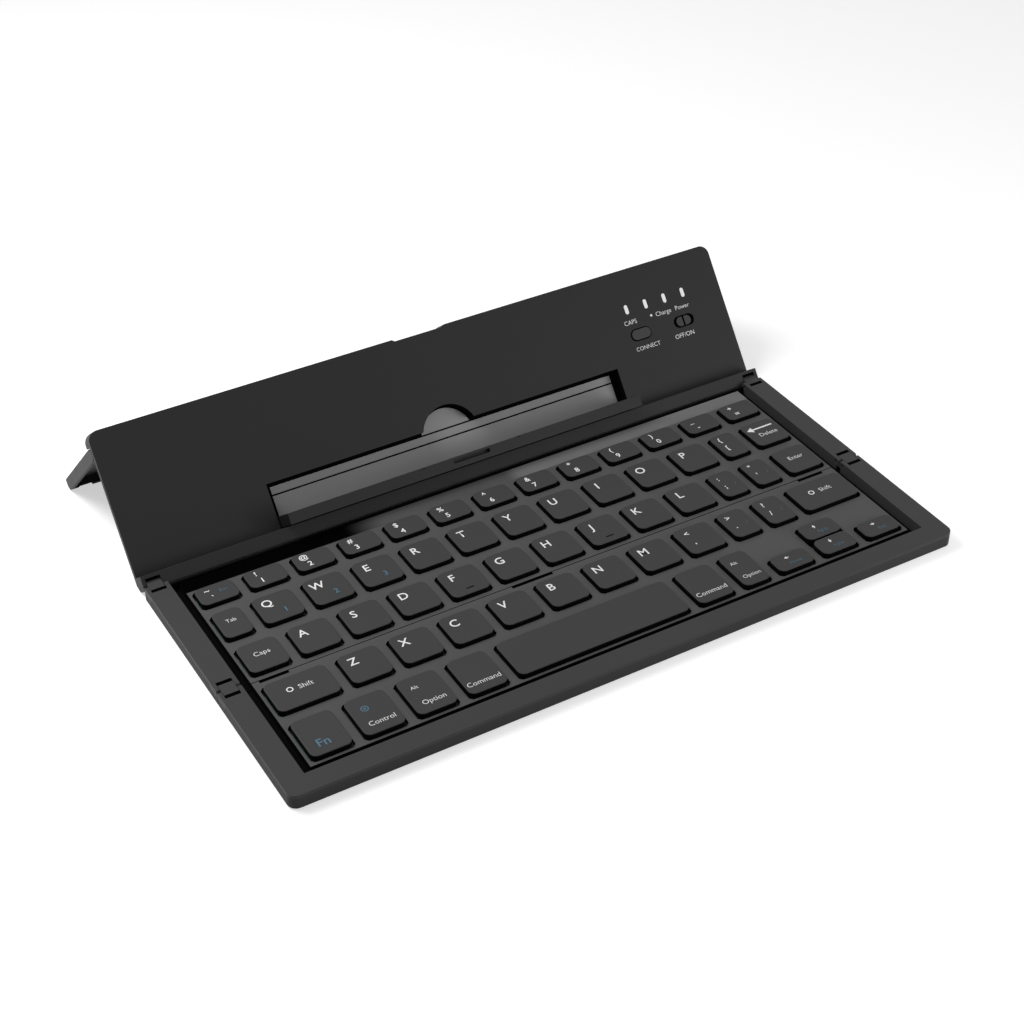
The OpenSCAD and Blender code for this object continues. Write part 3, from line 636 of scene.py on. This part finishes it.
def lensGrower():
    # a light pipe under a thin oval window
    g = Grower("lightLens", lens)
    parts = []
    for wide, tall, deep, low in (("Width", "Tall", g.given("Proud") * 2.0, g.given("Proud") * -1.0),
                                  ("Pipe Width", "Pipe Tall", g.given("Depth"), g.given("Depth") * -1.0)):
        frameLine = g.node("GeometryNodeCurvePrimitiveQuadrilateral", {},
                           {"Width": g.given(wide), "Height": g.given(tall)})
        oval = g.node("GeometryNodeFilletCurve", {"mode": "POLY"},
                      {"Curve": frameLine, "Radius": g.given(wide) * g.given("Corner Share"),
                       "Count": lensSteps})
        flat = g.node("GeometryNodeFillCurve", {"mode": "NGONS"}, {"Curve": oval})
        side = g.node("GeometryNodeExtrudeMesh", {}, {"Mesh": flat, "Offset": g.vector(0.0, 0.0, deep),
                                                      "Individual": False}, "Mesh")
        under = g.node("GeometryNodeFlipFaces", {}, {"Mesh": flat})
        parts.append(g.moved(g.joined(side, under), 0.0, 0.0, low))
    g.finish(g.joined(*parts), finish["window"], g.given("Tilt"))
    return g


def growPieces():
    screws, feet = screwGrower(), footGrower()
    for side in ("middle", "front"):
        grow(side + "_cross_screws", screws, footprints(side + "_screws"), screw, side + "_screws")
        grow(side + "_rubber_feet", feet, footprints(side + "_feet"), foot, side + "_feet")
    lights = [lidSpot(x, lid["ledUp"], lid["face"]).translation for x in lid["ledX"]]
    grow("light_lenses", lensGrower(), lights, lens, "led_windows")


growPieces()
print("repeated pieces grown")


# key caps

keycap = {"Width": 13.5 * mm, "Depth": 13.3 * mm, "Height": 2.2 * mm, "Corner": 2.2 * mm,
          "Least Corner": 0.3 * mm, "Edge": 0.22 * mm, "Wall": 0.02 * mm, "Skirt In": 0.1 * mm,
          "Dish": 0.07 * mm}
capRings = {"steps": 6, "edge": 4, "dish": (0.9, 1.8, 2.9), "curve": 0.7, "weld": 0.001 * mm}

def capGrower():
    # a rounded block raised ring by ring, with a rounded edge and a dished top
    g = Grower("keyCap", keycap)
    tall, edge, corner, skirt = [g.given(k) for k in ("Height", "Edge", "Corner", "Skirt In")]
    rings = [(0.0, tall - edge - g.given("Wall"))]
    for i in range(capRings["edge"] + 1):
        a = math.radians(90 * i / capRings["edge"])
        rings.append((edge * (1 - math.cos(a)), tall - edge * (1 - math.sin(a))))
    for inset in capRings["dish"]:
        share = (inset / capRings["dish"][-1]) ** capRings["curve"]
        rings.append((inset * mm, tall - g.given("Dish") * share))

    def arcs(inset):
        # the radius of a ring's corners, and how far from the middle they are centred
        r = (corner - inset).maths("MAXIMUM", g.given("Least Corner"))
        return r, [g.given(key) * 0.5 - inset - r for key in ("Width", "Depth")]

    frameLine = g.node("GeometryNodeCurvePrimitiveQuadrilateral", {}, {
        "Width": g.given("Width") - skirt * 2.0, "Height": g.given("Depth") - skirt * 2.0})
    outline = g.node("GeometryNodeFilletCurve", {"mode": "POLY"}, {
        "Curve": frameLine, "Radius": corner - skirt, "Count": capRings["steps"]})
    flat = g.node("GeometryNodeFillCurve", {"mode": "NGONS"}, {"Curve": outline})
    here = g.node("GeometryNodeInputPosition", {}, {})
    along = [g.node("ShaderNodeSeparateXYZ", {}, {0: here}, i) for i in range(2)]
    cap, chosen, level, (r, centres) = flat, {}, 0.0, arcs(skirt)
    for inset, z in rings:
        raised = g.node("GeometryNodeExtrudeMesh", {}, {
            "Mesh": cap, "Offset": g.vector(0.0, 0.0, z - level), "Individual": False, **chosen}, "Mesh")
        chosen = {"Selection": Wire(g, raised.socket.node.outputs["Top"])}
        nextR, nextCentres = arcs(inset)
        swell = nextR.maths("DIVIDE", r) - 1.0
        shift = []
        for at, old, new in zip(along, centres, nextCentres):
            side = at.maths("SIGN", 0.0)
            shift.append(side * (new - old) + (at - side * old) * swell)
        cap = g.node("GeometryNodeSetPosition", {}, {
            "Geometry": raised, "Offset": g.vector(shift[0], shift[1], 0.0), **chosen})
        level, r, centres = z, nextR, nextCentres
    under = g.node("GeometryNodeFlipFaces", {}, {"Mesh": flat})
    closed = g.node("GeometryNodeMergeByDistance", {}, {
        "Geometry": g.joined(cap, under), "Distance": capRings["weld"]})
    # the sides and underside of each cap take painted shade, near black
    g.finish(closed, finish["keyTop"], below=finish["paintedInnerShade"])
    return g


def makeCaps(node, grower):
    # caps of one size grow together, and those of one node become one mesh
    places = {}
    for low, high in keyBoxes[node]:
        size = tuple(round(v / mm, 2) for v in high - low)
        places.setdefault(size, []).append(((low.x + high.x) / 2, (low.y + high.y) / 2, low.z))
    slots = [finish["keyTop"], finish["paintedInnerShade"]]
    bm = bmesh.new()
    for (wide, deep, tall), spots in places.items():
        sizes = {**keycap, "Width": wide * mm, "Depth": deep * mm, "Height": tall * mm}
        obj = grown(node, grower, spots, sizes)
        # a grown mesh may hold an empty slot, so faces are matched by their material
        held = list(obj.data.materials)
        for face in obj.data.polygons:
            face.material_index = slots.index(held[face.material_index])
        bm.from_mesh(obj.data)
        bpy.data.objects.remove(obj)
    mesh = bpy.data.meshes.new(node + "_caps")
    bm.to_mesh(mesh)
    bm.free()
    for material in slots:
        mesh.materials.append(material)
    mesh.set_sharp_from_angle(angle=math.radians(angles["keepCap"]))
    obj = addPiece(node + "_caps", mesh, bodyOf[node])
    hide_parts(node)


keyNodes = [n for n in frame["nodes"] if n.endswith(("_key", "_keys"))]
keyBoxes = {n: islands(n) for n in keyNodes}
capTree = capGrower()
for node in keyNodes:
    makeCaps(node, capTree)
print("key caps made:", sum(len(b) for b in keyBoxes.values()))


# legends

# in mm: letters larger than "boldOver" are bold, and caps up to "narrow" wide take small words
ink = {"lift": 0.017, "lidLift": 0.015, "letter": 4.6, "word": 2.75, "narrowWord": 2.31, "small": 2.1,
       "page": 1.89, "digit": 3.2, "mark": 3.1, "label": 2.1, "largeLabel": 2.31, "bold": 0.05,
       "fine": -0.015, "boldOver": 3, "narrow": 11}
inkSteps = {"curve": 3, "dot": 24}      # steps of a letter's curves, and sides of a dot
# in mm: a dot's radius, a ring's outer and inner radius, an arrow's length and thickness
marks = {"dot": 0.45, "ring": (1.25, 0.9), "shiftRing": (1.1, 0.72), "backArrow": (10.4, 0.7),
         "arrow": (1.7, 0.3)}
# an arrow's head: half its width in half thicknesses, the least of that in mm, its length in half widths
arrowHead = {"half": 4.2, "least": 0.6, "length": 1.6}

def textMesh(text, size):
    curve = bpy.data.curves.new("letters", "FONT")
    curve.body, curve.size, curve.align_x, curve.align_y = text, size * mm, "CENTER", "CENTER"
    curve.resolution_u = inkSteps["curve"]
    curve.offset = ink["bold" if size > ink["boldOver"] else "fine"] * mm
    obj = bpy.data.objects.new("letters", curve)
    scene.collection.objects.link(obj)
    mesh = freeze(obj)
    bpy.data.objects.remove(obj)
    return mesh


def dotMesh(radius, hole=0.0):
    # a dot, or a ring where it has a hole
    bm = bmesh.new()
    sides = inkSteps["dot"]
    outer = bmesh.ops.create_circle(bm, segments=sides, radius=radius * mm, cap_ends=not hole)["verts"]
    if hole:
        inner = bmesh.ops.create_circle(bm, segments=sides, radius=hole * mm)["verts"]
        for i in range(sides):
            bm.faces.new((outer[i - 1], outer[i], inner[i], inner[i - 1]))
    mesh = bpy.data.meshes.new("dot")
    bm.to_mesh(mesh)
    bm.free()
    return mesh


def arrowMesh(length, thick, angle):
    # an arrow through the origin, pointing along angle
    h, t = length / 2 * mm, thick / 2 * mm
    head = max(arrowHead["half"] * t, arrowHead["least"] * mm)
    neck = h - arrowHead["length"] * head
    pts = [(h, 0), (neck, head), (neck, t), (-h, t), (-h, -t), (neck, -t), (neck, -head)]
    turn = Matrix.Rotation(math.radians(angle), 3, "Z")
    mesh = bpy.data.meshes.new("arrow")
    mesh.from_pydata([turn @ Vector((x, y, 0)) for x, y in pts], [], [range(len(pts))])
    return mesh


class Print:
    # ink of one colour on one body, gathered into one piece
    def __init__(self, body, colour):
        self.body, self.colour, self.bm = body, colour, bmesh.new()

    def add(self, mesh, place):
        mesh.transform(place)
        self.bm.from_mesh(mesh)
        bpy.data.meshes.remove(mesh)

    def finish(self):
        mesh = bpy.data.meshes.new("legends_%s_%s" % (self.body, self.colour))
        self.bm.to_mesh(mesh)
        self.bm.free()
        mesh.materials.append(finish[self.colour])
        addPiece(mesh.name, mesh, self.body)


prints = {}

def printOn(body, colour):
    return prints.setdefault((body, colour), Print(body, colour))


def onCap(box, shares):
    # a place on a cap, from shares of its width and depth
    low, high = box
    return [low[i] + (high[i] - low[i]) * shares[i] for i in range(2)]


def spot(box, shares):
    return Matrix.Translation((*onCap(box, shares), box[1].z + ink["lift"] * mm))


def stamp(node, box, text, shares, size, colour="whiteInk"):
    printOn(bodyOf[node], colour).add(textMesh(text, size), spot(box, shares))


def stampMark(node, mesh, shares, colour="whiteInk"):
    printOn(bodyOf[node], colour).add(mesh, spot(keyBoxes[node][0], shares))


letterRows = {"upper_letter_keys": "QWERTYUIOP", "home_letter_keys": "ASDFGHJKL",
              "lower_letter_keys": "ZXCVBNM"}
pairs = {"upper_letter_keys": ["{["], "home_letter_keys": [":;", "\"'"],
         "lower_letter_keys": ["<,", ">.", "?/"]}
numberRow = ["~`", "!1", "@2", "#3", "$4", "%5", "^6", "&7", "*8", "(9", ")0", "_-", "+="]

# where legends stand, as shares of a cap's width and depth
stand = {"letter": (0.3, 0.69), "upper": (0.3, 0.76), "lower": (0.3, 0.4), "second": (0.62, 0.3),
         "stroke": (0.74, 0.42), "shifted": (0.29, 0.72), "digit": (0.36, 0.29),
         "escape": (0.68, 0.55), "alt": (0.32, 0.7), "fn": (0.42, 0.27), "ring": (0.36, 0.66),
         "shiftRing": (0.33, 0.58), "backArrow": (0.47, 0.72), "delete": (0.55, 0.42),
         "arrow": (0.42, 0.7), "page": (0.55, 0.34)}

def printLetters():
    for node, letters in letterRows.items():
        boxes = keyBoxes[node]
        for box, letter in zip(boxes, letters):
            stamp(node, box, letter, stand["letter"], ink["letter"])
        for box, pair in zip(boxes[len(letters):], pairs[node]):
            stamp(node, box, pair[0], stand["upper"], ink["mark"])
            stamp(node, box, pair[1], stand["lower"], ink["mark"])
    for i in range(3):
        stamp("upper_letter_keys", keyBoxes["upper_letter_keys"][i], str(i + 1), stand["second"],
              ink["digit"], "blueInk")
    for node in ("home_letter_keys", "lower_letter_keys"):
        for box in keyBoxes[node][-2:]:
            stamp(node, box, "/", stand["stroke"], ink["small"], "blueInk")


def printNumbers():
    for i, (box, pair) in enumerate(zip(keyBoxes["number_keys"], numberRow)):
        stamp("number_keys", box, pair[0], stand["shifted"], ink["mark"])
        stamp("number_keys", box, pair[1], stand["digit"], ink["digit"])
        if i == 0:
            stamp("number_keys", box, "Esc", stand["escape"], ink["small"], "blueInk")


words = {"tab_key": ("Tab", 0.5, 0.58), "caps_key": ("Caps", 0.5, 0.56),
         "enter_key": ("Enter", 0.5, 0.56), "left_shift_key": ("Shift", 0.58, 0.56),
         "right_shift_key": ("Shift", 0.58, 0.56), "left_cmd_key": ("Command", 0.5, 0.24),
         "right_cmd_key": ("Command", 0.5, 0.24), "left_alt_key": ("Option", 0.54, 0.26),
         "right_alt_key": ("Option", 0.52, 0.26), "ctrl_key": ("Control", 0.54, 0.25)}
arrows = {"left_arrow_key": (180, "Home"), "right_arrow_key": (0, "End"),
          "up_arrow_key": (90, "PgUp"), "down_arrow_key": (270, "PgDn")}

def printWords():
    for node, (text, *shares) in words.items():
        box = keyBoxes[node][0]
        size = ink["word" if box[1].x - box[0].x > ink["narrow"] * mm else "narrowWord"]
        stamp(node, box, text, shares, size)
    for node in ("left_alt_key", "right_alt_key"):
        stamp(node, keyBoxes[node][0], "Alt", stand["alt"], ink["small"])
    stamp("fn_key", keyBoxes["fn_key"][0], "Fn", stand["fn"], ink["letter"], "blueInk")
    stampMark("ctrl_key", dotMesh(*marks["ring"]), stand["ring"], "blueInk")
    stampMark("ctrl_key", dotMesh(marks["dot"]), stand["ring"], "blueInk")
    for node in ("left_shift_key", "right_shift_key"):
        stampMark(node, dotMesh(*marks["shiftRing"]), stand["shiftRing"])
    stampMark("backspace_key", arrowMesh(*marks["backArrow"], 180), stand["backArrow"])
    stamp("backspace_key", keyBoxes["backspace_key"][0], "Delete", stand["delete"], ink["word"])
    for node, (angle, text) in arrows.items():
        stampMark(node, arrowMesh(*marks["arrow"], angle), stand["arrow"])
        stamp(node, keyBoxes[node][0], text, stand["page"], ink["page"], "blueInk")


# the bars on the F and J caps, counted from 0 in their row: place as shares of the cap, sizes in mm
homing = {"keys": {"homing_bar_f": 3, "homing_bar_j": 6}, "shares": (0.52, 0.2),
          "size": (2.8, 0.42, 0.3), "sunk": 0.02, "rounding": 0.08}

def homingBar(box):
    place = Matrix.Translation((*onCap(box, homing["shares"]), box[1].z - homing["sunk"] * mm))
    bm = bmesh.new()
    scale = Matrix.Diagonal((*(v * mm for v in homing["size"]), 1))
    bmesh.ops.create_cube(bm, size=1, matrix=place @ scale)
    bmesh.ops.bevel(bm, geom=bm.edges[:], offset=homing["rounding"] * mm, segments=edgeSteps,
                    affect="EDGES")
    mesh = bpy.data.meshes.new("homing")
    bm.to_mesh(mesh)
    bm.free()
    # the whole bar is near black: painted shade standing in for the shadow at its front
    mesh.materials.append(finish["paintedShade"])
    return mesh


printLetters()
printNumbers()
printWords()
for name, i in homing["keys"].items():
    addPiece(name, homingBar(keyBoxes["home_letter_keys"][i]), bodyOf["home_letter_keys"])


# lid labels

# in mm across, the dot, Charge and Power from their lights and the others from the lid's middle
lidLabels = {"dot": 0.9, "charge": -2.0, "power": -1.9, "connect": 83.9, "offOn": 99.8}
dotUp = 0.3      # the dot's height over the middle of the words beside it

def printLid():
    sheet = printOn("lid", "whiteInk")
    out, large = lid["face"] + ink["lidLift"], ink["largeLabel"]
    lights, buttons = lid["lightLabels"], lid["buttonLabels"]
    sheet.add(dotMesh(marks["dot"]), lidSpot(lid["ledX"][1] + lidLabels["dot"], lights + dotUp, out))
    labels = [("CAPS", lid["ledX"][0], lights, large),
              ("Charge", lid["ledX"][2] + lidLabels["charge"], lights, large),
              ("Power", lid["ledX"][3] + lidLabels["power"], lights, large),
              ("CONNECT", lidLabels["connect"], buttons, ink["label"]),
              ("OFF/ON", lidLabels["offOn"], buttons, large)]
    for text, x, up, size in labels:
        sheet.add(textMesh(text, size), lidSpot(x, up, out))


printLid()
for sheet in prints.values():
    sheet.finish()
print("legends printed:", len(prints))


# stage

studio = {"floor": 0.6, "floorRough": 0.9, "floorSize": 6, "paperLift": 0.55, "world": 0.33,
          "key": ((-0.25, 0.2, 0.42), 0.3, 2.4), "fill": ((0.35, -0.35, 0.1), 0.25, 1.3)}

def areaLamp(name, place, size, power):
    data = bpy.data.lights.new(name, "AREA")
    data.size, data.energy = size, power
    lamp = bpy.data.objects.new(name, data)
    lamp.location = place
    lamp.rotation_euler = (-Vector(place)).to_track_quat("-Z", "Y").to_euler()
    scene.collection.objects.link(lamp)


def floorPaper():
    # pale paper that keeps the shadow, and reads white to the lens and in reflections
    t = Tree("floorPaper")
    v, lift = studio["floor"], studio["paperLift"]
    t.finish(Base_Color=(v, v, v, 1), Roughness=studio["floorRough"])
    seen = seenDirectly(t)
    glow = t.node("ShaderNodeEmission", {}, {"Color": (lift, lift, lift, 1), "Strength": seen})
    both = t.node("ShaderNodeAddShader", {}, {0: Wire(t, t.shader.outputs[0]), 1: glow})
    t.links.new(both.socket, t.nodes["Material Output"].inputs["Surface"])
    return t.material


def makeStage():
    bm = bmesh.new()
    bmesh.ops.create_grid(bm, x_segments=1, y_segments=1, size=studio["floorSize"])
    mesh = bpy.data.meshes.new("floor")
    bm.to_mesh(mesh)
    bm.free()
    floor = bpy.data.objects.new("floor", mesh)
    scene.collection.objects.link(floor)
    mesh.materials.append(floorPaper())
    world = bpy.data.worlds.new("studio")
    scene.world = world
    world.use_nodes = True
    sky = Web(world.node_tree)
    level = seenDirectly(sky) * (1 - studio["world"]) + studio["world"]
    sky.feed(sky.nodes["Background"].inputs["Strength"], level)
    sky.nodes["Background"].inputs["Color"].default_value = (1, 1, 1, 1)
    areaLamp("keyLamp", *studio["key"])
    areaLamp("fillLamp", *studio["fill"])


makeStage()
print("stage made")
